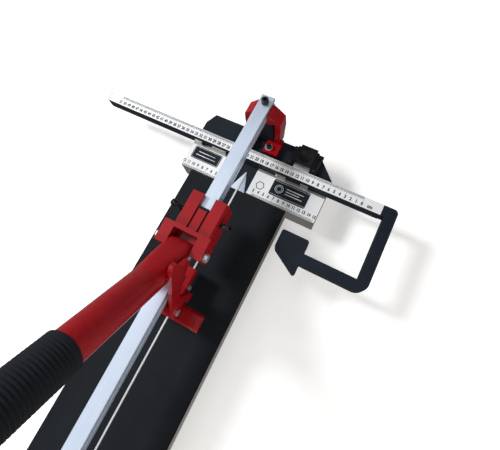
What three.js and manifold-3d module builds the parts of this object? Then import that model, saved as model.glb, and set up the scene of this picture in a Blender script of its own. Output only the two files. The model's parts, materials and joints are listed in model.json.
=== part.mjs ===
// A bench tile cutter: a long bed with rubber pads, a fence head with a sliding ruler stop, a single
// overhead rail on two end brackets, and a roller carriage whose lever carries the scoring wheel and the
// breaker foot. Millimetres, +Z up, X across the bed, +Y towards the fence head. The origin is on the
// ground under the middle of the bed.
import * as THREE from "three";
import { mergeVertices } from "three/addons/utils/BufferGeometryUtils.js";
import Module from "manifold-3d";

const wasm = await Module();
wasm.setup();

// ---------- driving dimensions ----------
const GAP = 0.3; // between pieces that touch
const FENCE_Y = 410; // front face of the fence blocks
const HEAD_REAR = 535; // rear edge of the head
const BED_FRONT = -450; // front edge of the bed
const FRONT_END = -535; // front edge of the end block
const RAIL_END = 553; // the rail runs from -RAIL_END to RAIL_END

const FOOT_H = 13.7; // rubber feet
const BASE_Z = 14; // underside of the profile and blocks
const PROFILE_TOP = 52;
const BED_Z = 55; // top of the rubber pads
const RIDGE_Z = 57; // top of the breaking ridge
const PLATE_Z = 59.7; // top of the black head plate
const FENCE_Z = 62; // top of the fence blocks
const BED_HALF = 100; // half width of the bed
const HEAD_LEFT = -122; // the head is wider than the bed, and longer on its right
const HEAD_RIGHT = 154;
const NOTCH_HALF = 19.4; // half width of the notch between the fence blocks

const RAIL_HALF = 12;
const RAIL_TOP = 163;
const RAIL_BOTTOM = 137;
const RAIL_CHAMFER = 4;

const RULER_Y0 = FENCE_Y + 55.1; // ruler bar, front and rear faces
const RULER_Y1 = FENCE_Y + 74.5;
const RULER_Z0 = PLATE_Z + 0.2;
const RULER_Z1 = 83;
const RULER_LEFT = -325;
const RULER_RIGHT = 248;
const ARM_Z0 = 62.5; // stop arm, bottom and top
const ARM_Z1 = 83.6;

const CAR_REAR = FENCE_Y - 61; // carriage body, rear and front ends
const CAR_FRONT = FENCE_Y - 155;
const CAR_HALF = 32;
const CAR_TOP = 171;
const CAR_BOTTOM = 124;
const YOKE_REAR = FENCE_Y - 122;
const YOKE_FRONT = FENCE_Y - 157;
const YOKE_TOP = 190;
const YOKE_STEP = 165; // the cheeks are lower under the yoke
const ROLLER_R = 6;

const PIVOT = { y: FENCE_Y - 148, z: 177 }; // lever pivot
const LEVER_ANGLE = THREE.MathUtils.degToRad(48.2); // tube above the horizontal
const TUBE_R = 21.2;
const TUBE_DROP = 11.3; // tube axis below the line through the pivot
const FOOT_PIVOT = { y: FENCE_Y - 237, z: 122 };
const WHEEL = { y: FENCE_Y - 198, z: 88, r: 12 };
const PLATE_IN = 21.5; // inner face of the lever's side plates
const PLATE_OUT = 27.5;

// ---------- materials ----------
const paint = (color, roughness, metalness) =>
  new THREE.MeshStandardMaterial({ color, roughness, metalness });
const MATERIALS = {
  red: paint(0xa01820, 0.35, 0.2),
  black: paint(0x1b1f26, 0.55, 0.2),
  aluminium: paint(0xc9cdd4, 0.35, 0.9),
  rail: paint(0xd5dce8, 0.25, 0.9),
  rubber: paint(0x14171b, 0.9, 0),
  white: paint(0xf2f4f4, 0.4, 0),
  steel: paint(0xb4b8be, 0.3, 1),
  dark_steel: paint(0x16171a, 0.4, 0.6),
  nylon: paint(0x1a1a1a, 0.6, 0),
  carbide: paint(0x8d9096, 0.3, 1),
};

// ---------- shape helpers ----------
const outline = (points) => new THREE.Shape(points.map(([a, b]) => new THREE.Vector2(a, b)));
const AXES = {
  // where the outline's two directions and the extrusion go
  x: new THREE.Matrix4().makeBasis(v3(0, 1, 0), v3(0, 0, 1), v3(1, 0, 0)),
  y: new THREE.Matrix4().makeBasis(v3(1, 0, 0), v3(0, 0, 1), v3(0, -1, 0)),
  z: new THREE.Matrix4(),
};

function v3(x, y, z) {
  return new THREE.Vector3(x, y, z);
}

// Extrudes an outline along an axis from lo to hi.
// Along x the outline is in YZ, along y in XZ, along z in XY.
function extrude(shape, axis, lo, hi) {
  const made = new THREE.ExtrudeGeometry(shape, { depth: hi - lo, bevelEnabled: false, curveSegments: 8 });
  made.applyMatrix4(AXES[axis]);
  const shift = axis === "y" ? hi : lo;
  return made.translate(axis === "x" ? shift : 0, axis === "y" ? shift : 0, axis === "z" ? shift : 0);
}

const box = (x0, x1, y0, y1, z0, z1) =>
  new THREE.BoxGeometry(x1 - x0, y1 - y0, z1 - z0).translate((x0 + x1) / 2, (y0 + y1) / 2, (z0 + z1) / 2);

// A cylinder from point a to point b.
function rod(a, b, radius, sides = 20) {
  const along = b.clone().sub(a);
  const made = new THREE.CylinderGeometry(radius, radius, along.length(), sides);
  made.applyQuaternion(new THREE.Quaternion().setFromUnitVectors(v3(0, 1, 0), along.clone().normalize()));
  const middle = a.clone().add(b).multiplyScalar(0.5);
  return made.translate(middle.x, middle.y, middle.z);
}

// A ring, a lathe profile that closes on itself, about the line through a centre.
function ring(centre, direction, inner, outer, width, sides = 24) {
  const h = width / 2;
  const profile = [[inner, -h], [outer, -h], [outer, h], [inner, h], [inner, -h]];
  const made = new THREE.LatheGeometry(profile.map(([r, y]) => new THREE.Vector2(r, y)), sides);
  made.applyQuaternion(new THREE.Quaternion().setFromUnitVectors(v3(0, 1, 0), direction.clone().normalize()));
  return made.translate(centre.x, centre.y, centre.z);
}

function toSolid(geometry) {
  const bare = geometry.clone();
  bare.deleteAttribute("normal");
  bare.deleteAttribute("uv");
  const merged = mergeVertices(bare, 1e-4);
  return new wasm.Manifold(
    new wasm.Mesh({
      numProp: 3,
      vertProperties: merged.attributes.position.array,
      triVerts: new Uint32Array(merged.index.array),
    }),
  );
}

function toGeometry(solid) {
  const mesh = solid.getMesh();
  const made = new THREE.BufferGeometry();
  made.setAttribute("position", new THREE.BufferAttribute(mesh.vertProperties, 3));
  made.setIndex(new THREE.BufferAttribute(mesh.triVerts, 1));
  return made;
}

const join = (first, ...others) =>
  toGeometry(others.reduce((sum, g) => sum.add(toSolid(g)), toSolid(first)));
const cut = (from, ...tools) =>
  toGeometry(tools.reduce((rest, g) => rest.subtract(toSolid(g)), toSolid(from)));

const cutter = new THREE.Group();
function add(name, geometry, material) {
  const mesh = new THREE.Mesh(geometry, MATERIALS[material]);
  mesh.name = name;
  cutter.add(mesh);
}

// A socket head screw: head from a towards b, shank on beyond b.
function socketScrew(a, b, headR, shankEnd, shankR) {
  const along = b.clone().sub(a).normalize();
  const on = (from, d) => from.clone().addScaledVector(along, d);
  const socket = rod(on(a, -1), on(a, 3), headR * 0.45, 6);
  return cut(join(rod(a, b, headR), rod(on(b, -1), shankEnd, shankR, 12)), socket);
}

// ---------- bed ----------
function bed() {
  const ribDepth = 1.6;
  const ribs = 5;
  const pitch = (PROFILE_TOP - BASE_Z) / (2 * ribs + 1);
  const side = [];
  for (let i = 0; i < ribs; i++) {
    const z = BASE_Z + (2 * i + 1) * pitch;
    const deep = BED_HALF - ribDepth;
    side.push([BED_HALF, z], [deep, z + 0.4], [deep, z + pitch - 0.4], [BED_HALF, z + pitch]);
  }
  const slotHalf = 1.8;
  const slotFloor = 44.5;
  const profile = outline([
    [-BED_HALF, BASE_Z],
    [BED_HALF, BASE_Z],
    ...side,
    [BED_HALF, PROFILE_TOP],
    [slotHalf, PROFILE_TOP],
    [slotHalf, slotFloor],
    [-slotHalf, slotFloor],
    [-slotHalf, PROFILE_TOP],
    [-BED_HALF, PROFILE_TOP],
    ...side.map(([x, z]) => [-x, z]).reverse(),
  ]);
  const wall = 3.5;
  const [z0, z1] = [BASE_Z + wall, PROFILE_TOP - wall];
  const chambers = [[-BED_HALF + 5, -52], [-48.5, -6], [6, 48.5], [52, BED_HALF - 5]];
  const tunnels = chambers.map(([x0, x1]) => box(x0, x1, BED_FRONT - 1, FENCE_Y + 1, z0, z1));
  add("bed_profile", cut(extrude(profile, "y", BED_FRONT, FENCE_Y), ...tunnels), "aluminium");

  const padInner = 3;
  const [y0, y1] = [BED_FRONT + GAP, FENCE_Y - GAP];
  add("left_rubber_pad", box(-BED_HALF, -padInner, y0, y1, PROFILE_TOP + GAP, BED_Z), "rubber");
  add("right_rubber_pad", box(padInner, BED_HALF, y0, y1, PROFILE_TOP + GAP, BED_Z), "rubber");

  const ridgeHalf = 1.5;
  const overNotch = BED_Z + 0.9; // the ridge's thin tongue lies over the pointer plate
  const ridge = outline([
    [y0, slotFloor + GAP],
    [FENCE_Y - 1, slotFloor + GAP],
    [FENCE_Y - 1, overNotch],
    [FENCE_Y + 37, overNotch],
    [FENCE_Y + 37, RIDGE_Z],
    [y0, RIDGE_Z],
  ]);
  add("breaking_ridge", extrude(ridge, "x", -ridgeHalf, ridgeHalf), "steel");

  const strip = { halfX: 80, halfY: 16 };
  for (const [name, y] of [["front_foot_strip", -490], ["middle_foot_strip", 0], ["rear_foot_strip", 490]]) {
    add(name, box(-strip.halfX, strip.halfX, y - strip.halfY, y + strip.halfY, 0, FOOT_H), "rubber");
  }
}

// ---------- head and front end ----------
function headOutline(front) {
  const [leftCut, rightCut] = [11, 40];
  return outline([
    [HEAD_LEFT, front],
    [HEAD_RIGHT, front],
    [HEAD_RIGHT, HEAD_REAR - rightCut],
    [HEAD_RIGHT - rightCut, HEAD_REAR],
    [HEAD_LEFT + leftCut, HEAD_REAR],
    [HEAD_LEFT, HEAD_REAR - 2 * leftCut],
  ]);
}

function head() {
  const blockDepth = 54.6;
  const rear = FENCE_Y + blockDepth;
  const blockUnder = join(
    extrude(headOutline(rear + GAP), "z", BASE_Z, PLATE_Z - 6 - GAP),
    box(-NOTCH_HALF, NOTCH_HALF, FENCE_Y + GAP, rear + 1, BASE_Z, 47.7),
  );
  add("head_block", blockUnder, "aluminium");
  add("head_plate", extrude(headOutline(rear + GAP), "z", PLATE_Z - 6, PLATE_Z), "black");
  add("notch_insert", box(-NOTCH_HALF, NOTCH_HALF, FENCE_Y + GAP, rear, 48, 54), "black");
  const arrow = outline([
    [-15, FENCE_Y + GAP],
    [15, FENCE_Y + GAP],
    [1, FENCE_Y + 40],
    [-1, FENCE_Y + 40],
  ]);
  add("pointer_plate", extrude(arrow, "z", 54 + GAP, BED_Z + 0.5), "aluminium");

  const inner = NOTCH_HALF + GAP;
  const plateH = 0.8; // engraved scale plates on the blocks
  const plateUnder = FENCE_Z - plateH;
  const blockTop = plateUnder - GAP / 3;
  const front = FENCE_Y + GAP;
  for (const [side, x0, x1] of [["left", HEAD_LEFT, -inner], ["right", inner, HEAD_RIGHT]]) {
    add(side + "_fence_block", box(x0, x1, front, rear, BASE_Z, blockTop), "aluminium");
    add(side + "_scale_plate", box(x0, x1, front, rear - 5, plateUnder, FENCE_Z), "white");
  }

  // Ruler guides: a foot strip with two upright lugs in front of the bar, and a low fence behind it.
  const guides = { left: [[-118, -102], [-79, -50]], right: [[55, 75], [104, 119]] };
  for (const [side, lugs] of Object.entries(guides)) {
    const [x0, x1] = [lugs[0][0], lugs[1][1]];
    const strip = box(x0, x1, rear - 4.6, rear, blockTop + GAP, FENCE_Z + 1.4);
    const uprights = lugs.map(([a, b]) => box(a, b, rear - 3, rear, FENCE_Z, FENCE_Z + 12));
    add(side + "_ruler_guide", join(strip, ...uprights), "aluminium");
  }
}

function frontEnd() {
  const chamfer = 14;
  const plan = outline([
    [-BED_HALF, BED_FRONT - GAP],
    [-BED_HALF, FRONT_END + chamfer],
    [-BED_HALF + chamfer, FRONT_END],
    [BED_HALF - chamfer, FRONT_END],
    [BED_HALF, FRONT_END + chamfer],
    [BED_HALF, BED_FRONT - GAP],
  ]);
  add("front_block", extrude(plan, "z", BASE_Z, PLATE_Z - 6 - GAP), "aluminium");
  add("front_plate", extrude(plan, "z", PLATE_Z - 6, PLATE_Z), "black");
}

// ---------- rail and its brackets ----------
const BOLT_Y = 539; // rail end bolts
function rail() {
  const c = RAIL_CHAMFER;
  const groove = { depth: 2.5, low: 147, high: 155 };
  const half = [
    [RAIL_HALF - c, RAIL_BOTTOM],
    [RAIL_HALF, RAIL_BOTTOM + c],
    [RAIL_HALF, groove.low],
    [RAIL_HALF - groove.depth, groove.low + 0.6],
    [RAIL_HALF - groove.depth, groove.high - 0.6],
    [RAIL_HALF, groove.high],
    [RAIL_HALF, RAIL_TOP - 0.8],
    [RAIL_HALF - 0.8, RAIL_TOP],
  ];
  const section = outline([...half, ...half.map(([x, z]) => [-x, z]).reverse()]);
  const hole = (y) => rod(v3(0, y, RAIL_BOTTOM - 1), v3(0, y, RAIL_TOP + 1), 4.4, 16);
  add("rail", cut(extrude(section, "y", -RAIL_END, RAIL_END), hole(BOLT_Y), hole(-BOLT_Y)), "rail");
}

// One end bracket: an arch over a post. toward is 1 at the fence head and -1 at the front end.
function bracket(name, toward) {
  const at = (y) => toward * y;
  const span = (a, b) => [Math.min(at(a), at(b)), Math.max(at(a), at(b))];
  const floor = PLATE_Z + GAP;
  const halfArch = [
    [12.6, 157],
    [18, 157],
    [37, 139.5],
    [38, 115],
    [34, floor],
    [23.6, floor],
    [26.5, 113],
    [26, 135],
    [12.6, 135],
  ];
  const arch = (s) => {
    const lean = s > 0 ? 1 : 0.84; // the arch is narrower on its left
    const points = halfArch.map(([x, z]) => [s * (x > 15 ? x * lean : x), z]);
    return extrude(outline(s > 0 ? points : points.reverse()), "y", ...span(520, 544));
  };
  const pedestal = (x0, x1) => box(x0, x1, ...span(496, 532), floor, 72);
  const bolt = (x, r) => rod(v3(x, at(507), floor - 1), v3(x, at(507), 80), r, 16);
  const seat = box(-20, 20, ...span(520, 544), 130, 136.6); // crossbar of the arch under the rail
  const bridge = box(-13, 13, ...span(526, 532), floor, 72);
  const shell = join(arch(1), arch(-1), seat, pedestal(11.5, 40), pedestal(-40, -11.5), bridge);
  const post = { half: 11, y0: 521, y1: 543 };
  const block = box(-19, 22.5, ...span(post.y0, post.y1), 72 + GAP, 126);
  const room = post.half + GAP;
  const clear = box(-room, room, ...span(post.y0 - GAP, post.y1 + GAP), floor - 1, RAIL_BOTTOM);
  add(name + "_bracket", cut(shell, bolt(20, 4.4), bolt(-20, 4.4), clear), "red");
  const stem = box(-post.half, post.half, ...span(post.y0, post.y1), floor, RAIL_BOTTOM - GAP);
  add(name + "_rail_post", join(stem, block), "black");
}

function brackets() {
  for (const [name, toward] of [["rear", 1], ["front", -1]]) {
    bracket(name, toward);
    const y = toward * BOLT_Y;
    const seat = v3(0, y, RAIL_TOP + GAP);
    const railBolt = socketScrew(v3(0, y, seat.z + 9), seat, 6.5, v3(0, y, RAIL_BOTTOM + GAP), 4);
    add(name + "_rail_bolt", railBolt, "dark_steel");
    for (const [side, x] of [["left", -20], ["right", 20]]) {
      const by = toward * 507;
      const screw = socketScrew(v3(x, by, 80), v3(x, by, 73.8), 5.5, v3(x, by, PLATE_Z + 2 * GAP), 4);
      const washer = rod(v3(x, by, 72 + GAP), v3(x, by, 74), 7.5);
      add(name + "_" + side + "_bracket_bolt", join(screw, washer), "steel");
    }
  }
}

// ---------- ruler and stop arm ----------
function ruler() {
  const [y0, y1] = [RULER_Y0, RULER_Y1];
  const wall = 2.2;
  const section = outline([[y0, RULER_Z0], [y1, RULER_Z0], [y1, RULER_Z1], [y0, RULER_Z1]]);
  section.holes.push(outline([
    [y0 + wall, RULER_Z0 + wall],
    [y0 + wall, RULER_Z1 - wall],
    [y1 - wall, RULER_Z1 - wall],
    [y1 - wall, RULER_Z0 + wall],
  ]));
  add("ruler_bar", extrude(section, "x", RULER_LEFT, RULER_RIGHT), "black");
  add("ruler_scale", box(RULER_LEFT, RULER_RIGHT, y0, y1, RULER_Z1 + GAP, RULER_Z1 + 1.2), "white");
  const cap = box(RULER_LEFT - 2, RULER_LEFT - GAP, y0 + 0.5, y1 - 0.5, RULER_Z0 + 0.5, RULER_Z1);
  add("ruler_end_cap", cap, "nylon");

  // The arm is one bent flat bar: out from the ruler's end, forward, back towards the bed,
  // and a pointed head.
  const right = 274;
  const barW = 18.5;
  const innerX = right - barW;
  const [top, bottom] = [y1, FENCE_Y - 81];
  const inner = bottom + 20;
  const arm = new THREE.Shape();
  arm.moveTo(RULER_RIGHT + GAP, top);
  arm.lineTo(right - 8, top);
  arm.absarc(right - 8, top - 8, 8, Math.PI / 2, 0, true);
  arm.lineTo(right, bottom + 20);
  arm.absarc(right - 20, bottom + 20, 20, 0, -Math.PI / 2, true);
  arm.lineTo(162, bottom);
  arm.lineTo(162, FENCE_Y - 96);
  arm.absarc(158, FENCE_Y - 96, 4, 0, -Math.PI * 0.62, true);
  arm.lineTo(114.5, FENCE_Y - 74);
  arm.lineTo(112.5, FENCE_Y - 69);
  arm.lineTo(112.5, FENCE_Y - 41);
  arm.absarc(116.5, FENCE_Y - 41, 4, Math.PI, Math.PI / 2, true);
  arm.absarc(157, FENCE_Y - 42, 5, Math.PI / 2, 0, true);
  arm.lineTo(162, inner);
  arm.lineTo(innerX, inner);
  arm.lineTo(innerX, y0);
  arm.lineTo(RULER_RIGHT + GAP, y0);
  add("stop_arm", extrude(arm, "z", ARM_Z0, ARM_Z1), "black");
}

// ---------- ruler latch ----------
function latch() {
  const [x0, x1] = [64, 121];
  const [y0, y1] = [FENCE_Y + 84, FENCE_Y + 123];
  const z0 = PLATE_Z + GAP;
  const slot = [75, 108];
  const body = join(
    box(x0, x1, y0, y1, z0, z0 + 8),
    box(slot[0] - 4, slot[0], y0 + 6, y1, z0 + 2, z0 + 14),
    box(slot[1], slot[1] + 4, y0 + 6, y1, z0 + 2, z0 + 14),
  );
  const channel = box(slot[0], slot[1], y0 - 1, y1 + 1, z0 - 1, z0 + 20);
  const sill = box(slot[0] - 1, slot[1] + 1, y1 - 3, y1, z0, z0 + 1.6);
  const corners = [[x0 + 5, y0 + 5], [x1 - 6, y0 + 5], [x0 + 5, y1 - 5], [x1 - 6, y1 - 5]];
  const holes = corners.map(([x, y]) => rod(v3(x, y, z0 - 1), v3(x, y, z0 + 9), 2.2, 12));
  add("latch_housing", cut(join(cut(body, channel), sill), ...holes), "nylon");

  const tongueTop = z0 + 5.6;
  add("latch_tongue", box(slot[0] + 1, slot[1] - 1, RULER_Y1 + 0.6, y1 - 8, z0 + 2, tongueTop), "steel");
  const grip = box(slot[0] + 0.6, slot[1] - 0.6, y0 + 8, y1 + 3, tongueTop + GAP, z0 + 18);
  const middle = (slot[0] + slot[1]) / 2;
  const fingerCup = new THREE.SphereGeometry(17, 24, 16).translate(middle, y0 + 22, z0 + 29);
  add("latch_slider", cut(grip, fingerCup), "nylon");
}

// ---------- carriage ----------
const ROLLER_OFFSET = (ROLLER_R + 0.2) * Math.SQRT1_2;
const ROLLER = {
  x: RAIL_HALF - RAIL_CHAMFER / 2 + ROLLER_OFFSET,
  z: RAIL_BOTTOM + RAIL_CHAMFER / 2 - ROLLER_OFFSET,
};
const ROLLERS = [
  { name: "rear_right", side: 1, y: FENCE_Y - 93, reach: 52 },
  { name: "rear_left", side: -1, y: FENCE_Y - 93, reach: 52 },
  { name: "front_right", side: 1, y: FENCE_Y - 140, reach: 27 },
  { name: "front_left", side: -1, y: FENCE_Y - 140, reach: 27 },
];

// A point d out from a roller's centre along its axle, which leans 45 degrees up and outwards.
const onRoller = (side, y) => (d) =>
  v3(side * ROLLER.x, y, ROLLER.z).addScaledVector(v3(side, 0, 1).normalize(), d);

function carriage() {
  const channel = RAIL_HALF + 0.6;
  const webUnder = RAIL_TOP + 1.2;
  const webTop = 167;
  const slotHalf = 10.5;
  const spineHalf = 7;
  const slotFront = CAR_REAR - 24;
  const chamfer = 5;
  const section = outline([
    [-CAR_HALF, CAR_BOTTOM],
    [-channel, CAR_BOTTOM],
    [-channel, webUnder],
    [channel, webUnder],
    [channel, CAR_BOTTOM],
    [CAR_HALF, CAR_BOTTOM],
    [CAR_HALF, CAR_TOP - chamfer],
    [CAR_HALF - chamfer * 0.5, CAR_TOP],
    [-CAR_HALF + chamfer * 0.5, CAR_TOP],
    [-CAR_HALF, CAR_TOP - chamfer],
  ]);
  const tools = [
    box(-slotHalf, slotHalf, slotFront, CAR_REAR + 1, webUnder - 1, CAR_TOP + 1),
    box(-slotHalf, -spineHalf, CAR_FRONT - 1, slotFront + 1, webTop, CAR_TOP + 1),
    box(spineHalf, slotHalf, CAR_FRONT - 1, slotFront + 1, webTop, CAR_TOP + 1),
    box(-spineHalf - 1, spineHalf + 1, CAR_FRONT - 1, YOKE_REAR + 2, webTop, CAR_TOP + 1),
    box(20.2, CAR_HALF + 1, CAR_FRONT - 1, YOKE_REAR + GAP, YOKE_STEP, CAR_TOP + 1),
    box(-CAR_HALF - 1, -20.2, CAR_FRONT - 1, YOKE_REAR + GAP, YOKE_STEP, CAR_TOP + 1),
    box(-20.3, 20.3, CAR_FRONT - 1, YOKE_REAR + GAP, webTop, CAR_TOP + 1),
  ];
  for (const { side, y, reach } of ROLLERS) {
    const at = onRoller(side, y);
    tools.push(rod(at(-4), at(4), ROLLER_R + 1), rod(at(0), at(reach + 8), 3.4, 12));
  }
  add("carriage_body", cut(extrude(section, "y", CAR_FRONT, CAR_REAR), ...tools), "red");

  for (const { name, side, y, reach } of ROLLERS) {
    const at = onRoller(side, y);
    add(name + "_roller", ring(at(0), v3(side, 0, 1), 3.3, ROLLER_R, 5), "steel");
    // A long screw ends in a round head and has a nut against the body; a short one stays inside.
    const long = reach > 30;
    const shank = rod(at(-3.4), at(reach - (long ? 8 : 4)), 3, 12);
    const ends = long ? [rod(at(reach - 8.5), at(reach), 5), rod(at(31.3), at(35.3), 5.6, 6)] : [];
    add(name + "_roller_screw", join(shank, ...ends), "dark_steel");
  }

  add("rail_wiper", box(-8, 8, slotFront + GAP, slotFront + 5, RAIL_TOP + GAP, CAR_TOP - 1.5), "rubber");

  // The yoke is a U in plan: a crossbar with two arms that hold the lever's pivot pin.
  const [outer, inside, bar] = [38.5, 20.5, 6.5];
  const plan = outline([
    [-outer, YOKE_REAR],
    [-outer, YOKE_FRONT],
    [-inside, YOKE_FRONT],
    [-inside, YOKE_REAR - bar],
    [inside, YOKE_REAR - bar],
    [inside, YOKE_FRONT],
    [outer, YOKE_FRONT],
    [outer, YOKE_REAR],
  ]);
  const underBar = box(-inside, inside, YOKE_REAR - bar - 1, YOKE_REAR + 1, YOKE_STEP - 1, webTop + GAP);
  const pinHole = rod(v3(-50, PIVOT.y, PIVOT.z), v3(50, PIVOT.y, PIVOT.z), 5.3);
  add("yoke", cut(extrude(plan, "z", YOKE_STEP + GAP, YOKE_TOP), underBar, pinHole), "red");
  const pin = join(
    rod(v3(-44, PIVOT.y, PIVOT.z), v3(39.5, PIVOT.y, PIVOT.z), 5),
    rod(v3(outer + GAP, PIVOT.y, PIVOT.z), v3(45.5, PIVOT.y, PIVOT.z), 7, 6),
    rod(v3(-outer - 6, PIVOT.y, PIVOT.z), v3(-outer - GAP, PIVOT.y, PIVOT.z), 7, 6),
  );
  add("lever_pivot_pin", pin, "steel");
}

// ---------- lever ----------
const along = v3(0, -Math.cos(LEVER_ANGLE), Math.sin(LEVER_ANGLE));
const across = v3(0, Math.sin(LEVER_ANGLE), Math.cos(LEVER_ANGLE));
// A point s along the tube from the pivot and t above the pivot line.
const onLever = (s, t) => v3(0, PIVOT.y, PIVOT.z).addScaledVector(along, s).addScaledVector(across, t);

function lever() {
  const [tubeStart, tubeEnd] = [56, 330];
  const gripStart = 215;
  const rootHalf = 19;
  const spots = [
    [-6.4, -6.4], [0, -9], [14, -16], [tubeStart + 2, -24], [tubeStart + 14, -24], [tubeStart + 14, 6],
    [34, 9.5], [6, 13], [-6.4, 6.4], [-9, 0],
  ];
  const side = spots.map(([s, t]) => onLever(s, t)).map((p) => [p.y, p.z]);
  const root = extrude(outline(side), "x", -rootHalf, rootHalf);
  const tube = rod(onLever(tubeStart, -TUBE_DROP), onLever(tubeEnd, -TUBE_DROP), TUBE_R, 32);
  const bore = rod(onLever(tubeStart + 20, -TUBE_DROP), onLever(tubeEnd + 1, -TUBE_DROP), TUBE_R - 2.6, 24);
  const pinHole = rod(v3(-30, PIVOT.y, PIVOT.z), v3(30, PIVOT.y, PIVOT.z), 5.3);
  add("lever_tube", cut(join(root, tube), bore, pinHole), "red");

  const [r0, r1] = [TUBE_R + GAP, TUBE_R + 3.4];
  const gripEnd = tubeEnd + 5;
  const profile = [
    [r0, gripStart], [r1 - 0.8, gripStart], [r1, gripStart + 2], [r1, gripEnd - 5], [r1 - 5, gripEnd],
    [0, gripEnd], [0, tubeEnd + GAP], [r0, tubeEnd + GAP], [r0, gripStart],
  ];
  const grip = new THREE.LatheGeometry(profile.map(([r, y]) => new THREE.Vector2(r, y)), 32);
  grip.applyQuaternion(new THREE.Quaternion().setFromUnitVectors(v3(0, 1, 0), along));
  const base = onLever(0, -TUBE_DROP);
  add("handle_grip", grip.translate(base.x, base.y, base.z), "rubber");

  sidePlates();
  wheelHolder();
  foot();
}

// Two plates beside the tube reach down past the rail to the foot pivot and the wheel holder.
function sidePlates() {
  const f = FOOT_PIVOT;
  const low = [
    [f.y - 10.5, f.z + 4], [f.y - 10, f.z - 5], [f.y - 4, f.z - 10], [f.y + 18, f.z - 10], [f.y + 19, 84],
    [f.y + 34, 84], [f.y + 34, 108], [f.y + 24, 134], [f.y + 24, 158], [f.y + 58, 181],
  ];
  const tops = {
    left: [[f.y + 66, 187], [f.y + 60, 194], [f.y + 25, 196]],
    right: [
      [f.y + 75, 193], [f.y + 74, 205], [f.y + 63, 216], [f.y + 62, 238], [f.y + 56, 244], [f.y + 49, 241],
    ],
  };
  const hole = rod(v3(-60, f.y, f.z), v3(60, f.y, f.z), 4.4, 16);
  for (const [name, x0, x1] of [["left", -PLATE_OUT, -PLATE_IN], ["right", PLATE_IN, PLATE_OUT]]) {
    add(name + "_side_plate", cut(extrude(outline([...low, ...tops[name]]), "x", x0, x1), hole), "red");
  }
}

function wheelHolder() {
  const [half, fork] = [15.5, 7];
  const [y0, y1] = [WHEEL.y - 22, WHEEL.y + 32];
  const [z0, z1] = [80, 98];
  const channel = cut(box(-half, half, y0, y1, z0, z1), box(-fork, fork, y0 - 1, y1 - 16, z0 - 1, z1 - 3.5));
  const wings = box(-PLATE_IN + GAP, PLATE_IN - GAP, y0 + 3, y0 + 15, 85, 97);
  const axle = rod(v3(-40, WHEEL.y, WHEEL.z), v3(40, WHEEL.y, WHEEL.z), 3.3, 16);
  const wheelRoom = box(-fork, fork, WHEEL.y - 15, WHEEL.y + 15, z0 - 1, z1 + 1);
  add("wheel_holder", cut(join(channel, wings), axle, wheelRoom), "red");
  const bolt = join(
    rod(v3(-half - 2, WHEEL.y, WHEEL.z), v3(half + 1, WHEEL.y, WHEEL.z), 3, 16),
    rod(v3(half + GAP, WHEEL.y, WHEEL.z), v3(half + 5, WHEEL.y, WHEEL.z), 5.5, 6),
    rod(v3(-half - 5, WHEEL.y, WHEEL.z), v3(-half - GAP, WHEEL.y, WHEEL.z), 5.5, 6),
  );
  add("wheel_axle_bolt", bolt, "steel");
  const slope = WHEEL.r - 2.5; // where the ground edge starts
  const edge = [
    [3.2, -2.5],
    [slope, -2.5],
    [WHEEL.r, -0.25],
    [WHEEL.r, 0.25],
    [slope, 2.5],
    [3.2, 2.5],
    [3.2, -2.5],
  ];
  const wheel = new THREE.LatheGeometry(edge.map(([r, y]) => new THREE.Vector2(r, y)), 36);
  wheel.rotateZ(Math.PI / 2);
  add("scoring_wheel", wheel.translate(0, WHEEL.y, WHEEL.z), "carbide");
}

function foot() {
  const f = FOOT_PIVOT;
  const [half, wide, low] = [14, 66, f.z - 22];
  const hub = outline([
    [f.y - 9, f.z + 1], [f.y - 6, f.z + 7], [f.y, f.z + 9], [f.y + 6, f.z + 7], [f.y + 9, f.z + 1],
    [f.y + 11, low + 8], [f.y - 11, low + 8],
  ]);
  const bar = outline([
    [f.y - half, low], [f.y + half, low], [f.y + half, low + 6], [f.y + half - 4, low + 9],
    [f.y - half + 4, low + 9], [f.y - half, low + 6],
  ]);
  const relief = box(-9, 9, f.y - half - 1, f.y + half + 1, low - 1, low + 3); // room for the breaking ridge
  const pinHole = rod(v3(-30, f.y, f.z), v3(30, f.y, f.z), 4.4, 16);
  const body = join(extrude(bar, "x", -wide, wide), extrude(hub, "x", -PLATE_IN + 0.7, PLATE_IN - 0.7));
  add("breaker_foot", cut(body, relief, pinHole), "red");
  for (const [name, x0, x1] of [["left", -60, -12], ["right", 12, 60]]) {
    add(name + "_foot_pad", box(x0, x1, f.y - half + 2, f.y + half - 2, low - 3, low - GAP), "rubber");
  }
  const out = PLATE_OUT;
  const pin = join(
    rod(v3(-out - 2, f.y, f.z), v3(out + 1, f.y, f.z), 4, 16),
    rod(v3(out + GAP, f.y, f.z), v3(out + 3.5, f.y, f.z), 6, 6),
    rod(v3(-out - 3.5, f.y, f.z), v3(-out - GAP, f.y, f.z), 6, 6),
  );
  add("foot_pivot_pin", pin, "steel");
}

bed();
head();
frontEnd();
rail();
brackets();
ruler();
latch();
carriage();
lever();

export default cutter;
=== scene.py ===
"""Looks for a bench tile cutter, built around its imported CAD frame.

Metres, +Z up, +X to the operator's right, +Y along the rail towards the fence head.
"""

import json
import math

import bmesh
import bpy
from mathutils import Matrix, Vector


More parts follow.
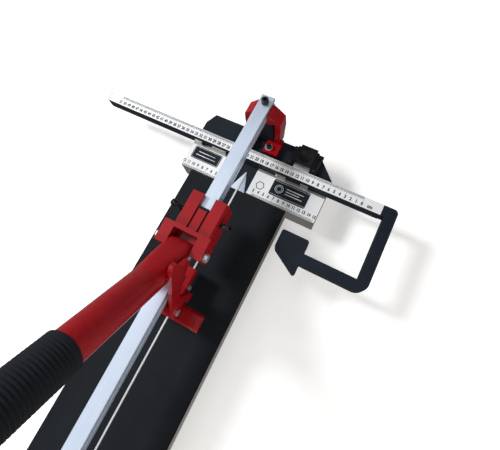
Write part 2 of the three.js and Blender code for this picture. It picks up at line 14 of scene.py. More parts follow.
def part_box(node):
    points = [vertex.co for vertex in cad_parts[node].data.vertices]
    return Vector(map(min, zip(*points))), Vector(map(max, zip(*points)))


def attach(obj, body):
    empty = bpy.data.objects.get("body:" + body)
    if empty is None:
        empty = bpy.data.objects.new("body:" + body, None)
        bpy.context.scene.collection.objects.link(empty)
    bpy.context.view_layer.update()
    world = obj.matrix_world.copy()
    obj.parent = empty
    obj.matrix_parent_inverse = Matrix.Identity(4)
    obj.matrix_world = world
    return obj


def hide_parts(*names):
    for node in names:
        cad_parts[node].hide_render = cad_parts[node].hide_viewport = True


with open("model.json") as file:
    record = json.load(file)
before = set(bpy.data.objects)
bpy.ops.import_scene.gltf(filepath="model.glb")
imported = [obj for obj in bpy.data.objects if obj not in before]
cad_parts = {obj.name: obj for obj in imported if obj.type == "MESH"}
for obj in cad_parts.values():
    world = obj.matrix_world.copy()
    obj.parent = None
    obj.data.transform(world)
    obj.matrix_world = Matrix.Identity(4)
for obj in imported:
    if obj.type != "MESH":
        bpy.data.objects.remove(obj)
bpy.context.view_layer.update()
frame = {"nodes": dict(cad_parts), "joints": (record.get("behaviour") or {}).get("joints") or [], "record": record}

MM = 0.001
UP = Vector((0, 0, 1))
ACROSS_BED = Vector((1, 0, 0))
nodes = frame["nodes"]
joints = {j["name"]: j for j in frame["joints"]}
slots = {part["node"]: part["material_slot"] for part in frame["record"]["subparts"]}


def lo_hi(name):
    """A node's lowest and highest corners at rest."""
    low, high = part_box(name)
    return Vector(low), Vector(high)


def in_metres(points):
    return [tuple(value * MM for value in point) for point in points]


# ---------- materials ----------
def worn_and_lit_edges(node, link, mix, place, base, edge_wear_and_glint):
    """Mixes a lighter colour into a base colour, in chips along the mesh's sharp edges: partly edge wear, partly a
    painted edge highlight.
    """
    soft = node("ShaderNodeBevel", Radius=0.0009)
    soft.samples = 4
    flat = node("ShaderNodeNewGeometry")
    turned = node("ShaderNodeVectorMath")
    turned.operation = "DOT_PRODUCT"
    link(soft.outputs[0], turned.inputs[0])
    link(flat.outputs["Normal"], turned.inputs[1])
    edge = node("ShaderNodeMapRange", **{"From Min": 0.985, "From Max": 0.90})
    link(turned.outputs["Value"], edge.inputs["Value"])
    chips = node("ShaderNodeTexNoise", Scale=260.0, Detail=6.0)
    link(place.outputs["Object"], chips.inputs["Vector"])
    chipped = node("ShaderNodeMapRange", **{"From Min": 0.48, "From Max": 0.62, "To Max": 0.75})
    link(chips.outputs["Fac"], chipped.inputs["Value"])
    both = node("ShaderNodeMath")
    both.operation = "MULTIPLY"
    link(edge.outputs[0], both.inputs[0])
    link(chipped.outputs[0], both.inputs[1])
    worn_and_lit = mix()
    link(base, worn_and_lit.inputs["A"])
    worn_and_lit.inputs["B"].default_value = (*edge_wear_and_glint, 1)
    link(both.outputs[0], worn_and_lit.inputs["Factor"])
    return worn_and_lit.outputs["Result"]


def surface(name, colour, second, rough, metal, scale, stretch=(1, 1, 1), bump=0.1,
            depth=0.0002, coat=0.0, edge_wear_and_glint=None, shine=0.5, detail=8.0):
    """A finish with two-tone grain, patchy gloss, fine relief and, where asked, lighter edge chips that are partly
    wear and partly a painted edge highlight.

    rough is the range of the roughness, scale and stretch set the grain, and depth is the
    relief in metres.
    """
    material = bpy.data.materials.new(name)
    material.use_nodes = True
    tree = material.node_tree
    shader = tree.nodes["Principled BSDF"]
    shader.inputs["Metallic"].default_value = metal
    shader.inputs["Coat Weight"].default_value = coat
    shader.inputs["Specular IOR Level"].default_value = shine
    shader.inputs["Coat Roughness"].default_value = 0.06

    def node(kind, **values):
        made = tree.nodes.new(kind)
        for key, value in values.items():
            made.inputs[key].default_value = value
        return made

    def mix():
        made = node("ShaderNodeMix")
        made.data_type = "RGBA"
        return made

    link = tree.links.new
    place = node("ShaderNodeTexCoord")
    stretched = node("ShaderNodeMapping", Scale=stretch)
    link(place.outputs["Object"], stretched.inputs["Vector"])
    grain = node("ShaderNodeTexNoise", Scale=scale, Detail=detail, Roughness=0.6)
    link(stretched.outputs["Vector"], grain.inputs["Vector"])
    patches = node("ShaderNodeTexNoise", Scale=14.0, Detail=5.0, Roughness=0.65)
    link(place.outputs["Object"], patches.inputs["Vector"])

    tone = mix()
    tone.inputs["A"].default_value = (*colour, 1)
    tone.inputs["B"].default_value = (*second, 1)
    blend = node("ShaderNodeMath")
    blend.operation = "MULTIPLY"
    link(grain.outputs["Fac"], blend.inputs[0])
    link(patches.outputs["Fac"], blend.inputs[1])
    spread = node("ShaderNodeMapRange", **{"From Min": 0.12, "From Max": 0.42})
    link(blend.outputs[0], spread.inputs["Value"])
    link(spread.outputs[0], tone.inputs["Factor"])

    gloss = node("ShaderNodeMapRange", **{
        "From Min": 0.3, "From Max": 0.7, "To Min": rough[0], "To Max": rough[1]})
    link(patches.outputs["Fac"], gloss.inputs["Value"])
    link(gloss.outputs[0], shader.inputs["Roughness"])

    final = tone.outputs["Result"]
    # where asked, sharp edges get lighter chips: partly edge wear, partly a painted edge highlight
    if edge_wear_and_glint:
        final = worn_and_lit_edges(node, link, mix, place, final, edge_wear_and_glint)
    link(final, shader.inputs["Base Color"])

    relief = node("ShaderNodeBump", Strength=bump, Distance=depth)
    link(grain.outputs["Fac"], relief.inputs["Height"])
    link(relief.outputs["Normal"], shader.inputs["Normal"])
    return material


FINISHES = {
    # the lighter red on the enamel's edges is a painted edge highlight as well as chipped enamel
    "red_enamel": surface(
        "red_enamel", (0.28, 0.003, 0.007), (0.36, 0.006, 0.011), (0.20, 0.34), 0.0, 900,
        bump=0.05, depth=0.00005, coat=0.24, edge_wear_and_glint=(0.38, 0.05, 0.05), shine=0.16),
    "black_coat": surface(
        "black_coat", (0.009, 0.013, 0.021), (0.017, 0.023, 0.033), (0.50, 0.68), 0.0, 1600,
        bump=0.35, depth=0.00008, edge_wear_and_glint=(0.07, 0.07, 0.08), shine=0.12),
    "aluminium": surface(
        "aluminium", (0.58, 0.57, 0.54), (0.44, 0.43, 0.41), (0.28, 0.42), 0.85, 900,
        stretch=(1, 0.03, 1), bump=0.10, depth=0.00004, detail=2.0),
    "rail_aluminium": surface(
        "rail_aluminium", (0.70, 0.80, 0.95), (0.60, 0.70, 0.86), (0.26, 0.36), 0.6, 700,
        stretch=(1, 0.01, 1), bump=0.05, depth=0.00002, detail=2.0),
    "rubber": surface(
        "rubber", (0.0065, 0.0085, 0.0115), (0.016, 0.019, 0.024), (0.62, 0.85), 0.0, 1400,
        bump=0.5, depth=0.00015, shine=0.12),
    "scale_white": surface(
        "scale_white", (0.90, 0.92, 0.94), (0.82, 0.84, 0.87), (0.30, 0.45), 0.15, 500,
        stretch=(0.05, 1, 1), bump=0.05, depth=0.00005),
    "steel": surface(
        "steel", (0.80, 0.81, 0.83), (0.60, 0.61, 0.64), (0.24, 0.40), 0.8, 700,
        bump=0.12, depth=0.00005),
    "dark_steel": surface(
        "dark_steel", (0.012, 0.012, 0.014), (0.03, 0.03, 0.034), (0.28, 0.45), 0.5, 900,
        bump=0.15, depth=0.00006, edge_wear_and_glint=(0.14, 0.14, 0.15)),
    # the nylon's lighter edge colour is a painted glint along its edges as well as edge wear
    "nylon": surface(
        "nylon", (0.006, 0.007, 0.009), (0.014, 0.015, 0.018), (0.42, 0.6), 0.0, 1100,
        bump=0.3, depth=0.0001, edge_wear_and_glint=(0.06, 0.06, 0.07), shine=0.22),
    "carbide": surface(
        "carbide", (0.50, 0.51, 0.54), (0.36, 0.37, 0.40), (0.18, 0.3), 1.0, 1200,
        bump=0.1, depth=0.00004),
}
INK = surface(
    "ink", (0.008, 0.008, 0.010), (0.02, 0.02, 0.022), (0.45, 0.6), 0.0, 1500,
    bump=0.1, depth=0.00003)

ROUND_EDGES = {  # how far each finish's edges are rounded, in mm
    "red_enamel": 0.9,
    "black_coat": 0.6,
    "aluminium": 0.35,
    "rail_aluminium": 0.4,
    "nylon": 0.6,
    "rubber": 0.4,
}
for name, obj in nodes.items():
    obj.data.materials.clear()
    obj.data.materials.append(FINISHES[slots[name]])
    if slots[name] in ROUND_EDGES:
        bevel = obj.modifiers.new("edges", "BEVEL")
        bevel.width = ROUND_EDGES[slots[name]] * MM
        bevel.segments = 3
        bevel.limit_method = "ANGLE"
        bevel.angle_limit = math.radians(32)
        bevel.harden_normals = False
        bevel.use_clamp_overlap = True


# ---------- pieces ----------
def piece(name, mesh, body, slot, material=None, sharp=35):
    """Adds a mesh as a piece that rides on a body, smooth except at edges over sharp degrees."""
    obj = bpy.data.objects.new(name, mesh)
    bpy.context.scene.collection.objects.link(obj)
    mesh.materials.append(material or FINISHES[slot])
    mesh.shade_smooth()
    mesh.set_sharp_from_angle(angle=math.radians(sharp))
    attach(obj, body)
    return obj


def to_mesh(name, bm):
    bmesh.ops.recalc_face_normals(bm, faces=bm.faces)
    mesh = bpy.data.meshes.new(name)
    bm.to_mesh(mesh)
    bm.free()
    return mesh


def solid(name, body, slot, *shapes, replaced=None):
    """One piece made of several shapes, each a function and what it takes after the mesh."""
    bm = bmesh.new()
    for add, *given in shapes:
        add(bm, *given)
    obj = piece(name, to_mesh(name, bm), body, slot)
    if replaced:
        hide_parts(replaced)


def turned_to(direction):
    return UP.rotation_difference(Vector(direction)).to_matrix().to_4x4()


def full_turn(sides):
    return [2 * math.pi * i / sides for i in range(sides)]


def skin(bm, loops):
    """Joins loops of the same length with a band of faces each."""
    for below, above in zip(loops, loops[1:]):
        for i in range(len(below)):
            j = (i + 1) % len(below)
            bm.faces.new((below[i], below[j], above[j], above[i]))


def add_closed(bm, loops):
    """A body skinned over loops, with a face across each end."""
    skin(bm, loops)
    bm.faces.new(loops[0])
    bm.faces.new(loops[-1])


def add_lathe(bm, profile, origin, direction, sides=64):
    """Spins (radius, height) points about a line; points at radius 0 close the ends."""
    place = Matrix.Translation(origin) @ turned_to(direction)

    def at(radius, angle, height):
        spot = Vector((radius * math.cos(angle), radius * math.sin(angle), height))
        return bm.verts.new(place @ spot)

    rings = []
    for radius, height in profile:
        angles = full_turn(sides) if radius > 1e-9 else [0]
        rings.append([at(radius, angle, height) for angle in angles])
    for below, above in zip(rings, rings[1:]):
        if len(below) == len(above):
            if len(below) > 1:
                skin(bm, [below, above])
            continue
        for i in range(sides):
            j = (i + 1) % sides
            if len(below) == 1:
                bm.faces.new((below[0], above[j], above[i]))
            else:
                bm.faces.new((below[i], below[j], above[0]))


def add_box(bm, low, high):
    made = bmesh.ops.create_cube(bm, size=1)["verts"]
    low, high = Vector(low), Vector(high)
    for v in made:
        v.co = (low + high) / 2 + Vector([v.co[k] * (high - low)[k] for k in range(3)])


HEAD_SIDES = 48  # corners in each loop of a screw head


def head_loop(bm, place, z, radius_at):
    """A loop of vertices at height z; radius_at gives the radius from the index and angle."""
    loop = []
    for i, angle in enumerate(full_turn(HEAD_SIDES)):
        radius = radius_at(i, angle)
        spot = Vector((radius * math.cos(angle), radius * math.sin(angle), z))
        loop.append(bm.verts.new(place @ spot))
    return loop


def hexagon_radius(flat, angle):
    """The distance from a hexagon's centre to its side, flat being the shortest one."""
    near = (angle + math.pi / 6) % (math.pi / 3) - math.pi / 6
    return flat / math.cos(near)


def cap_head(bm, seat, direction, radius, height):
    """A socket head: knurled side, rounded rim and a hexagon recess."""
    place = Matrix.Translation(seat) @ turned_to(direction)
    rim = radius * 0.12
    knurl = radius * 0.035
    socket = radius * 0.5 * math.cos(math.pi / 6)

    def ring(r, z):
        return head_loop(bm, place, z, lambda i, angle: r)

    def knurled(z):
        return head_loop(bm, place, z, lambda i, angle: radius - (knurl if i % 2 else 0))

    def recess(z):
        return head_loop(bm, place, z, lambda i, angle: hexagon_radius(socket, angle))

    add_closed(bm, [
        ring(radius - rim, 0),
        knurled(rim),
        knurled(height - 2 * rim),
        ring(radius - rim * 0.4, height - rim * 0.6),
        ring(radius - 1.4 * rim, height),
        recess(height),
        recess(height * 0.45),
    ])


def hex_head(bm, seat, direction, radius, height):
    """A hexagon head or nut with chamfered corners and a flat crown."""
    place = Matrix.Translation(seat) @ turned_to(direction)
    flat = radius * math.cos(math.pi / 6)

    def loop(limit, z):
        return head_loop(bm, place, z, lambda i, angle: min(hexagon_radius(flat, angle), limit))

    add_closed(bm, [
        loop(radius * 0.94, 0),
        loop(radius, height * 0.14),
        loop(radius, height * 0.8),
        loop(radius * 0.93, height * 0.92),
        loop(flat * 0.9, height),
        loop(flat * 0.5, height),
    ])


# ---------- scale marks ----------
LIFT = 0.04 * MM  # how far a printed mark stands above the surface it is on
NARROW = 0.82  # numerals are condensed to fit a 10 mm pitch
TICK_WIDTH = 0.46 * MM


def glyph_maker():
    """Returns a function that adds a word as a thin mesh, each word made once."""
    made = {}

    def shape(text):
        if text not in made:
            curve = bpy.data.curves.new("glyph", "FONT")
            curve.body = text
            curve.align_x = "CENTER"
            curve.align_y = "CENTER"
            curve.resolution_u = 3
            curve.offset = 0.045
            holder = bpy.data.objects.new("glyph", curve)
            bpy.context.scene.collection.objects.link(holder)
            bpy.context.view_layer.update()
            made[text] = bpy.data.meshes.new_from_object(holder)
            bpy.data.objects.remove(holder)
            bpy.data.curves.remove(curve)
        return made[text]

    def write(bm, text, x, y, z, size):
        start = len(bm.verts)
        bm.from_mesh(shape(text))
        bm.verts.ensure_lookup_table()
        for v in bm.verts[start:]:
            v.co = Vector((x + v.co.x * size * NARROW, y + v.co.y * size, z))

    return write


write = glyph_maker()


def add_flat(bm, corners, z):
    bm.faces.new([bm.verts.new((x, y, z)) for x, y in corners])


def add_bar(bm, x, y0, y1, z, width):
    left, right = x - width / 2, x + width / 2
    add_flat(bm, [(left, y0), (right, y0), (right, y1), (left, y1)], z)


def printed(name, bm, body, material):
    """Turns flat marks into a thin solid layer that starts just inside the surface below it."""
    for face in bm.faces:
        face.normal_update()
        if face.normal.z < 0:
            face.normal_flip()
    mesh = bpy.data.meshes.new(name)
    bm.to_mesh(mesh)
    bm.free()
    layer = piece(name, mesh, body, "scale_white", material).modifiers.new("layer", "SOLIDIFY")
    layer.thickness = LIFT + 0.01 * MM
    layer.offset = -1


def tick_length(mm):
    return (7.4 if mm % 10 == 0 else 6.2 if mm % 5 == 0 else 4.6) * MM


def scale_marks(name, body, zero, step, first, last, edge, inward, y_text, text_size):
    """Centimetre numerals from first to last, with a tick each millimetre from an edge inwards.

    zero and edge are the x of the scale's zero and the y and z of its edge; step is 1 where the
    scale runs to the right; inward is the ticks' direction times their scale.
    """
    bm = bmesh.new()
    y_edge, z = edge
    for mm in range(10 * first, 10 * last + 1):
        x = zero + step * mm * MM
        add_bar(bm, x, y_edge, y_edge + inward * tick_length(mm), z + LIFT, TICK_WIDTH)
        if mm % 10 == 0:
            write(bm, str(mm // 10), x, y_text, z + LIFT, text_size)
    printed(name, bm, body, INK)


ruler_lo, ruler_hi = lo_hi("ruler_scale")
ruler_zero = ruler_hi.x - 34.3 * MM
ruler_text = ruler_lo.y + 5.6 * MM
scale_marks("ruler_marks", "ruler", ruler_zero, -1, 0, 51,
            (ruler_hi.y - 0.5 * MM, ruler_hi.z), -1, ruler_text, 8.6 * MM)
bm = bmesh.new()
write(bm, "cm", ruler_zero + 14 * MM, ruler_text, ruler_hi.z + LIFT, 9 * MM)
printed("ruler_unit", bm, "ruler", INK)

plate_lo, plate_hi = lo_hi("right_scale_plate")
for name, step, last in (("right_fence_marks", 1, 15), ("left_fence_marks", -1, 12)):
    scale_marks(name, "base", 0, step, 3, last, (plate_lo.y + 0.4 * MM, plate_hi.z),
                0.72, plate_lo.y + 10.2 * MM, 8.2 * MM)


# ---------- labels ----------
# Places on the fence are in mm from the middle of the bed and from the fence's front edge.
LABEL_HEIGHT = 0.35 * MM
PRINT_Z = plate_hi.z + LABEL_HEIGHT + LIFT


def on_fence(x, y):
    return x * MM, plate_lo.y + y * MM


def rounded_outline(x0, x1, y0, y1, r, steps=6):
    points = []
    left, right, near, far = x0 + r, x1 - r, y0 + r, y1 - r
    for cx, cy, start in ((right, far, 0), (left, far, 90), (left, near, 180), (right, near, 270)):
        for i in range(steps + 1):
            a = math.radians(start + 90 * i / steps)
            points.append(on_fence(cx + r * math.cos(a), cy + r * math.sin(a)))
    return points


def circle(x, y, r, sides=48):
    return [on_fence(x + r * math.cos(a), y + r * math.sin(a)) for a in full_turn(sides)]


def add_slab(bm, points, z0, z1):
    add_closed(bm, [[bm.verts.new((x, y, z)) for x, y in points] for z in (z0, z1)])


def add_frame(bm, outer, inner, z):
    skin(bm, [[bm.verts.new((x, y, z)) for x, y in points] for points in (outer, inner)])


def add_bars(bm, centre_x, y, pitch, height, lengths):
    """Plain bars in place of words, one above the other; centre_x takes a bar's length."""
    for k, length in enumerate(lengths):
        x, y0 = on_fence(centre_x(length), y + pitch * k)
        add_bar(bm, x, y0, y0 + height * MM, PRINT_Z, length * MM)


def label(name, x0, x1, y0, y1):
    outline = rounded_outline(x0, x1, y0, y1, 3)
    sunk = 0.02 * MM
    solid(name, "base", "black_coat",
          (add_slab, outline, plate_hi.z - sunk, plate_hi.z + LABEL_HEIGHT))


label("right_label", 57, 128, 16.2, 48.5)
bm = bmesh.new()
for k in range(44):  # a hatched border
    for y in (18.2, 45):
        x = 59.5 + 1.55 * k
        hatch = [(x, y), (x + 0.5, y), (x + 1.5, y + 1.5), (x + 1.0, y + 1.5)]
        add_flat(bm, [on_fence(*corner) for corner in hatch], PRINT_Z)
for outer, inner in ((8.0, 7.3), (5.2, 4.7)):  # a plain emblem of two rings
    add_frame(bm, circle(72, 32.3, outer), circle(72, 32.3, inner), PRINT_Z)
add_bars(bm, lambda length: 85 + length / 2, 27, 5, 1.6, (34, 27, 34))
printed("right_label_print", bm, "base", FINISHES["scale_white"])

label("left_label", -113.5, -54, 21, 47.5)
bm = bmesh.new()
add_frame(bm, rounded_outline(-112.1, -55.4, 22.4, 46.1, 2.4),
          rounded_outline(-111.6, -55.9, 22.9, 45.6, 2.2), PRINT_Z)
add_bars(bm, lambda length: -84, 30, 7, 1.5, (42, 36))
printed("left_label_print", bm, "base", FINISHES["scale_white"])

bm = bmesh.new()
hexagon_r = 8.6
add_frame(bm, circle(37, 24, hexagon_r, 6), circle(37, 24, hexagon_r * 0.82, 6),
          plate_hi.z + LIFT)
printed("hexagon_mark", bm, "base", INK)


# ---------- pointer ----------
def pointer():
    """The bright arrow in the notch: two facets that meet in a ridge and narrow to a point."""
    low, high = lo_hi("pointer_plate")
    steps = 12
    tip = 0.8 * MM
    side = low.z + 0.5 * MM
    bm = bmesh.new()
    loops = []
    for k in range(steps + 1):
        f = k / steps
        half = (high.x - tip) * (1 - f) + tip
        y = low.y + (high.y - low.y) * f
        ridge = low.z + 1.5 * MM * (1 - 0.3 * f)
        section = ((-half, low.z), (-half, side), (0, ridge), (half, side), (half, low.z))
        loops.append([bm.verts.new((x, y, z)) for x, z in section])
    add_closed(bm, loops)
    mesh = to_mesh("pointer_arrow", bm)
    obj = piece("pointer_arrow", mesh, "base", "aluminium", FINISHES["rail_aluminium"], sharp=4)
    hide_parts("pointer_plate")


pointer()

# ---------- fasteners ----------
GAP = 0.3 * MM  # between pieces that touch
rail_top = lo_hi("rail")[1].z
RAIL_SHANK = in_metres([(0, -26), (4, -26), (4, 0.5), (0, 0.5)])
WASHER = in_metres([
    (4.2, 0.3), (7.2, 0.3), (7.5, 0.6), (7.5, 1.7), (7.2, 2.0), (4.2, 2.0), (4.2, 0.3)])
for end in ("rear", "front"):
    low, high = lo_hi(end + "_rail_bolt")
    bolt = (low + high) / 2
    bolt.z = rail_top
    solid(end + "_rail_bolt_head", "base", "dark_steel",
          (cap_head, bolt + UP * GAP, UP, 6.5 * MM, high.z - rail_top - GAP),
          (add_lathe, RAIL_SHANK, bolt, UP, 24),
          replaced=end + "_rail_bolt")
    for side in ("left", "right"):
        bracket_bolt = f"{end}_{side}_bracket_bolt"
        low, high = lo_hi(bracket_bolt)
        seat = (low + high) / 2
        seat.z = high.z - 8 * MM
        solid(f"{end}_{side}_bracket_washer", "base", "steel",
              (add_lathe, WASHER, seat, UP, 48),
              replaced=bracket_bolt)
        solid(f"{end}_{side}_bracket_screw", "base", "dark_steel",
              (cap_head, seat + UP * 2 * MM, UP, 5.2 * MM, 6 * MM))

house_lo, house_hi = lo_hi("latch_housing")
spots = [(x, y) for y in (house_lo.y + 5 * MM, house_hi.y - 5 * MM)
         for x in (house_lo.x + 5 * MM, house_hi.x - 6 * MM)]
for i, (x, y) in enumerate(spots):
    seat = Vector((x, y, house_lo.z + 8 * MM))
    solid(f"latch_screw_{i + 1}", "base", "dark_steel", (cap_head, seat, UP, 3.6 * MM, 2.8 * MM))

BEARING = in_metres([
    (3.3, -2.5), (5.7, -2.5), (6.0, -2.2), (6.0, 2.2), (5.7, 2.5), (5.0, 2.5), (4.9, 2.2),
    (4.2, 2.2), (4.1, 2.5), (3.3, 2.5), (3.3, -2.5)])


def thread(inner, start, stop, root=2.6 * MM, crest=3.0 * MM, turns=24):
    """The profile of a threaded shank, plain from inner to start."""
    pitch = (stop - start) / turns
    profile = [(0, inner), (root, inner)]
    for k in range(turns):
        at = start + pitch * k
        profile += [(root, at), (crest, at + pitch / 2)]
    return profile + [(root, stop), (0, stop)]


for name in ("rear_right", "rear_left", "front_right", "front_left"):
    low, high = lo_hi(name + "_roller")
    centre = (low + high) / 2
    out = Vector((1 if name.endswith("right") else -1, 0, 1)).normalized()
    if name.startswith("rear"):  # a long screw with a knurled head and a locking nut
        reach = 52 * MM
        shapes = [
            (add_lathe, thread(-3.4 * MM, 4 * MM, reach - 9 * MM), centre, out, 32),
            (cap_head, centre + out * (reach - 8.5 * MM), out, 5 * MM, 8.5 * MM),
            (hex_head, centre + out * 31.3 * MM, out, 5.6 * MM, 4 * MM),
        ]
    else:
        reach = 23 * MM
        shapes = [(add_lathe, thread(-3.4 * MM, 4 * MM, reach - 0.4 * MM), centre, out, 32)]
    solid(name + "_bearing_screw", "carriage", "dark_steel", *shapes,
          replaced=name + "_roller_screw")
    solid(name + "_bearing", "carriage", "steel", (add_lathe, BEARING, centre, out, 64),
          replaced=name + "_roller")


def cross_pin(name, body, node, shank, head, inner):
    """A pin along X with a hexagon head on the right and a nut on the left."""
    low, high = lo_hi(node)
    axis = (low + high) / 2
    axis.x = 0
    left, right = low.x, high.x
    profile = [
        (0, left + 0.5 * MM), (shank - 0.4 * MM, left + 0.5 * MM), (shank, left + 1 * MM),
        (shank, right - 1 * MM), (0, right - 1 * MM)]
    solid(name, body, "steel",
          (add_lathe, profile, axis, ACROSS_BED, 40),
          (hex_head, axis + ACROSS_BED * inner, ACROSS_BED, head, right - inner),
          (hex_head, axis - ACROSS_BED * inner, -ACROSS_BED, head, -left - inner - 1 * MM),
          replaced=node)


yoke_x = lo_hi("yoke")[1].x
plate_x = lo_hi("right_side_plate")[1].x
holder_x = 15.5 * MM
cross_pin("lever_pivot_bolt", "carriage", "lever_pivot_pin", 5 * MM, 7 * MM, yoke_x + GAP)
cross_pin("foot_pivot_bolt", "lever", "foot_pivot_pin", 4 * MM, 6 * MM, plate_x + GAP)
cross_pin("wheel_bolt", "lever", "wheel_axle_bolt", 3 * MM, 5.5 * MM, holder_x + GAP)

low, high = lo_hi("scoring_wheel")
wheel_r = (high.z - low.z) / 2 / MM
disc = in_metres([
    (3.2, -2.5), (wheel_r - 2.6, -2.5), (wheel_r - 2.4, -2.4), (wheel_r, -0.12),
    (wheel_r, 0.12), (wheel_r - 2.4, 2.4), (wheel_r - 2.6, 2.5), (3.2, 2.5), (3.2, -2.5)])
solid("scoring_disc", "wheel", "carbide", (add_lathe, disc, (low + high) / 2, ACROSS_BED, 96),
      replaced="scoring_wheel")

# ---------- adjusters and latch detail ----------
for end in ("rear", "front"):
    low, high = lo_hi(end + "_rail_post")
    y = (low.y + high.y) / 2
    heads = [(cap_head, Vector((x, y, z)), ACROSS_BED * way, 4.2 * MM, 2.6 * MM)
             for x, way in ((high.x, 1), (low.x, -1)) for z in (88 * MM, 108 * MM)]
    solid(end + "_post_adjusters", "base", "dark_steel", *heads)

plate_top = lo_hi("head_plate")[1].z
spots = in_metres([(-80, -462), (80, -462), (-70, -520), (70, -520)])
heads = [(cap_head, Vector((x, y, plate_top)), UP, 3.4 * MM, 1.6 * MM) for x, y in spots]
solid("front_plate_screws", "base", "dark_steel", *heads)

slider_lo, slider_hi = lo_hi("latch_slider")
inset = 5 * MM
ridges = []
for k in range(4):
    y = slider_hi.y - (2.2 + 2.0 * k) * MM
    ridges.append((add_box, (slider_lo.x + inset, y, slider_hi.z - 0.1 * MM),
                   (slider_hi.x - inset, y + 0.9 * MM, slider_hi.z + 0.5 * MM)))
solid("latch_thumb_ridges", "latch", "nylon", *ridges)

# ---------- lever ----------
pivot = Vector(joints["lever_pivot"]["pos_m"])
TUBE_ANGLE = math.radians(48.2)  # above the horizontal
ALONG = Vector((0, -math.cos(TUBE_ANGLE), math.sin(TUBE_ANGLE)))
ABOVE = Vector((0, math.sin(TUBE_ANGLE), math.cos(TUBE_ANGLE)))
TUBE_R = 21.2 * MM
DROP = 11.3 * MM  # the tube's axis lies below the line through the pivot


def on_lever(s, t, x=0.0):
    """A point s along the lever from the pivot and t above that line."""
    return pivot + ALONG * s + ABOVE * t + Vector((x, 0, 0))


def lever_tube():
    start, end = 56 * MM, 330 * MM
    floor = start + 20 * MM  # where the bore begins
    bore = TUBE_R - 2.6 * MM
    profile = [
        (0, start), (TUBE_R - 1 * MM, start), (TUBE_R - 0.3 * MM, start + 0.3 * MM),
        (TUBE_R, start + 1 * MM), (TUBE_R, end), (bore, end), (bore, floor), (0, floor)]
    solid("lever_tube_round", "lever", "red_enamel",
          (add_lathe, profile, on_lever(0, -DROP), ALONG, 96),
          replaced="lever_tube")


def lever_root():
    """A tapering block that grows from the tongue at the pivot into the round tube."""
    half, top, bottom = 19 * MM, 13 * MM, 10 * MM  # the block's section at the pivot
    steps, sides = 14, 48
    bm = bmesh.new()
    loops = []
    for k in range(steps + 1):
        f = k / steps
        s = 6 * MM + f * 84 * MM
        blend = f * f * (3 - 2 * f)
        width = half + (TUBE_R - half) * blend
        upper = top + (TUBE_R - DROP - top) * blend
        lower = -(bottom + (TUBE_R + DROP - bottom) * blend)
        middle, height = (upper + lower) / 2, (upper - lower) / 2
        power = 6 - 4 * blend  # from a rounded square to a circle
        loop = []
        for a in full_turn(sides):
            c, d = math.cos(a), math.sin(a)
            n = (abs(c) ** power + abs(d) ** power) ** (-1 / power)
            loop.append(bm.verts.new(on_lever(s, middle + height * n * d, width * n * c)))
        loops.append(loop)
    add_closed(bm, loops)
    boss = in_metres([
        (5.3, -19), (8.6, -19), (9, -18.6), (9, 18.6), (8.6, 19), (5.3, 19), (5.3, -19)])
    add_lathe(bm, boss, pivot, ACROSS_BED, 48)
    piece("lever_root", to_mesh("lever_root", bm), "lever", "red_enamel", sharp=50)


def strut_weld():
    """A rippled bead of weld where the right side plate meets the tube."""
    count, sides = 20, 10
    points = [Vector((TUBE_R + 0.4 * MM,
                      pivot.y - (24 + 1.4 * k) * MM,
                      pivot.z + (22 + 1.5 * k) * MM)) for k in range(count)]
    bm = bmesh.new()
    loops = []
    for k, point in enumerate(points):
        before, after = points[max(k - 1, 0)], points[min(k + 1, count - 1)]
        turn = turned_to((after - before).normalized())
        r = 1.2 * MM * (1 + 0.16 * math.sin(k * 1.9)) * (0.4 if k in (0, count - 1) else 1)
        loops.append([bm.verts.new(point + turn @ Vector((r * math.cos(a), r * math.sin(a), 0)))
                      for a in full_turn(sides)])
    add_closed(bm, loops)
    piece("strut_weld", to_mesh("strut_weld", bm), "lever", "red_enamel", sharp=80)


def grip():
    """The ribbed rubber sleeve with a closed, rounded end."""
    start, end, tube_end = 215 * MM, 335 * MM, 330.3 * MM
    inner, outer = TUBE_R + 0.3 * MM, TUBE_R + 3.3 * MM
    groove = outer - 1.0 * MM
    ribs = 22
    pitch = (end - start - 20 * MM) / ribs
    profile = [
        (inner, start), (outer - 1.2 * MM, start), (outer, start + 1.5 * MM),
        (outer, start + 6 * MM)]
    for k in range(ribs):
        at = start + 8 * MM + k * pitch
        profile += [(outer, at), (groove, at + pitch * 0.2), (groove, at + pitch * 0.45),
                    (outer, at + pitch * 0.65)]
    profile += [
        (outer, end - 6 * MM), (outer - 1.2 * MM, end - 3 * MM), (outer - 5 * MM, end), (0, end),
        (0, tube_end), (inner, tube_end), (inner, start)]
    solid("ribbed_grip", "lever", "rubber",
          (add_lathe, profile, on_lever(0, -DROP), ALONG, 80),
          replaced="handle_grip")


lever_tube()
lever_root()
strut_weld()
grip()


# ---------- stage ----------
def stage_piece(name, mesh, glow):
    """A pale piece of the studio. Paint and metal mirror the lights, not this."""
    obj = bpy.data.objects.new(name, mesh)
    bpy.context.scene.collection.objects.link(obj)
    material = surface(
        name, (0.90, 0.90, 0.90), (0.86, 0.86, 0.87), (0.7, 0.85), 0.0, 40, bump=0.02)
    shader = material.node_tree.nodes["Principled BSDF"]
    shader.inputs["Emission Color"].default_value = (1, 1, 1, 1)
    shader.inputs["Emission Strength"].default_value = glow
    mesh.materials.append(material)
    obj.visible_glossy = False
    return obj


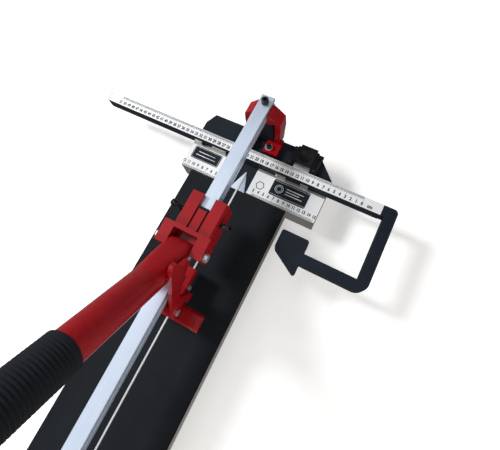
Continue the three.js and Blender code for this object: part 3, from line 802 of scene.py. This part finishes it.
FLOOR_R, WALL_H = 30.0, 40.0
bm = bmesh.new()
bmesh.ops.create_circle(bm, cap_ends=True, radius=FLOOR_R, segments=96)
stage_piece("floor", to_mesh("floor", bm), 0.38)
bm = bmesh.new()
wall = [(FLOOR_R - 0.5, -0.1), (FLOOR_R - 0.5, WALL_H)]
add_lathe(bm, wall, Vector((0, 0, 0)), UP, 96)
backdrop = stage_piece("backdrop", to_mesh("backdrop", bm), 0.33)
backdrop.visible_diffuse = False
backdrop.visible_shadow = False

world = bpy.data.worlds.new("studio")
bpy.context.scene.world = world
world.use_nodes = True
sky = world.node_tree.nodes["Background"]
sky.inputs["Color"].default_value = (1, 1, 1, 1)
sky.inputs["Strength"].default_value = 0.16


def soft_light(name, place, target, size, power, colour=(1, 1, 1), length=None):
    data = bpy.data.lights.new(name, "AREA")
    data.shape = "RECTANGLE"
    data.size = size
    data.size_y = length or size
    data.energy = power
    data.color = colour
    lamp = bpy.data.objects.new(name, data)
    bpy.context.scene.collection.objects.link(lamp)
    lamp.location = place
    lamp.rotation_euler = (Vector(target) - Vector(place)).to_track_quat("-Z", "Y").to_euler()


MIDDLE = (0, 0.25, 0.1)
soft_light("ceiling", (-0.75, 0, 2.3), (-0.75, 0.001, 0), 1.1, 9, length=3.4)
soft_light("key", (-1.9, 0.4, 1.9), MIDDLE, 0.6, 56)
soft_light("fill", (1.8, -0.6, 1.7), MIDDLE, 0.5, 17, (1.0, 0.97, 0.93))
soft_light("warm", (0.35, -1.1, 0.25), (0.05, 0.41, 0.04), 0.5, 3.0, (1.0, 0.80, 0.52))
soft_light("back", (-1.2, -1.6, 1.5), MIDDLE, 1.2, 8)

# The camera looks steeply down past the lever's right side, turned so the rail leans right.
RIGHT = Vector((0.8813, 0.4600, -0.1081)).normalized()
FORWARD = Vector((-0.2412, 0.2414, -0.9400))
FORWARD = (FORWARD - RIGHT * FORWARD.dot(RIGHT)).normalized()
camera = bpy.data.objects.new("camera", bpy.data.cameras.new("camera"))
bpy.context.scene.collection.objects.link(camera)
turn = Matrix((RIGHT, (-FORWARD).cross(RIGHT), -FORWARD)).transposed()
camera.matrix_world = Matrix.Translation((0.1753, 0.2252, 0.6921)) @ turn.to_4x4()
camera.data.lens = 26.25
camera.data.sensor_width = 36
camera.data.shift_x = 0.0257
camera.data.shift_y = -0.0458
camera.data.clip_start = 0.01
bpy.context.scene.camera = camera
bpy.context.scene.view_settings.view_transform = "Standard"
